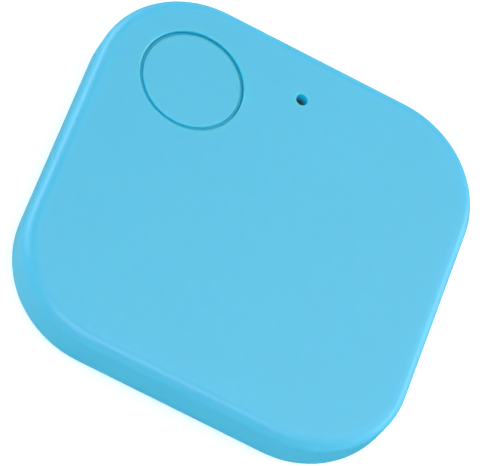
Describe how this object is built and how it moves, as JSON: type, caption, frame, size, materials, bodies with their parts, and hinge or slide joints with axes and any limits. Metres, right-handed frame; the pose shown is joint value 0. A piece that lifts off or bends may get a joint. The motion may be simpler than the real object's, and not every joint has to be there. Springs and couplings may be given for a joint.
{
  "type": "bluetooth tracker tag",
  "caption": "Rounded-square key-finder tag with a flush round push button, a sound hole, a lift-off rear cover and a coin cell.",
  "frame": {"origin": "middle of the flat rear face, which the tag lies on", "axes": "+Z out of the face with the button, +Y towards the edge beside the sound hole, the button towards -X and +Y"},
  "size_m": [0.038, 0.038, 0.0066],
  "materials": {
    "blue_shell": "fine satin moulded ABS, a little translucent",
    "blue_button": "fine satin moulded ABS, a little translucent",
    "pad_rubber": "soft silicone rubber",
    "tape_black": "double-sided adhesive tape",
    "board_green": "solder mask on glass-epoxy",
    "screw_steel": "zinc-plated",
    "chip_black": "moulded epoxy",
    "crystal_can": "plated can",
    "antenna_ceramic": "fired ceramic",
    "ferrite": "pressed ferrite",
    "capacitor_ceramic": "fired ceramic with tinned ends",
    "resistor_black": "glazed top with tinned ends",
    "gold_plate": "gold-plated copper",
    "sounder_brass": "rolled sheet",
    "piezo_white": "silvered ceramic",
    "contact_steel": "nickel-plated spring steel",
    "switch_black": "moulded nylon",
    "switch_white": "moulded nylon",
    "cell_steel": "nickel-plated steel",
    "cell_seal": "polypropylene seal"
  },
  "bodies": {
    "case": {"front_shell": "blue_shell", "circuit_board": "board_green", "board_screws": "screw_steel", "bluetooth_chip": "chip_black", "main_crystal": "crystal_can", "clock_crystal": "crystal_can", "chip_antenna": "antenna_ceramic", "boost_inductor": "ferrite", "driver_transistor": "chip_black", "capacitors": "capacitor_ceramic", "resistors": "resistor_black", "inductors": "antenna_ceramic", "test_pads": "gold_plate", "sounder_gasket": "tape_black", "piezo_plate": "sounder_brass", "piezo_ceramic": "piezo_white", "sounder_contacts": "contact_steel", "switch_base": "switch_black", "switch_dome": "contact_steel", "switch_frame": "contact_steel", "switch_terminals": "contact_steel", "negative_contact": "contact_steel", "positive_contact": "contact_steel"},
    "button": {"button_cap": "blue_button"},
    "plunger": {"switch_plunger": "switch_white"},
    "cover": {"rear_cover": "blue_shell", "cover_pad": "pad_rubber"},
    "cell": {"cell_can": "cell_steel", "cell_gasket": "cell_seal", "cell_cap": "cell_steel"}
  },
  "joints": [
    {"name": "case_lift_off", "type": "slide", "parent": "cover", "child": "case", "axis": [0, 0, 1], "range_m": [0, 0.016]},
    {"name": "cell_lift_out", "type": "slide", "parent": "cover", "child": "cell", "axis": [0, 0, 1], "range_m": [0, 0.008]},
    {"name": "button_press", "type": "slide", "parent": "case", "child": "button", "axis": [0, 0, -1], "range_m": [0, 0.00025], "stiffness_N_per_m": 2000, "deforming": ["switch_dome"]},
    {"name": "switch_plunge", "type": "slide", "parent": "case", "child": "plunger", "axis": [0, 0, -1], "range_m": [0, 0.00025]}
  ],
  "couplings": [
    {"joint": "switch_plunge", "follows": "button_press", "ratio": 1},
    {"joint": "cell_lift_out", "follows": "case_lift_off", "ratio": 0.5}
  ]
}
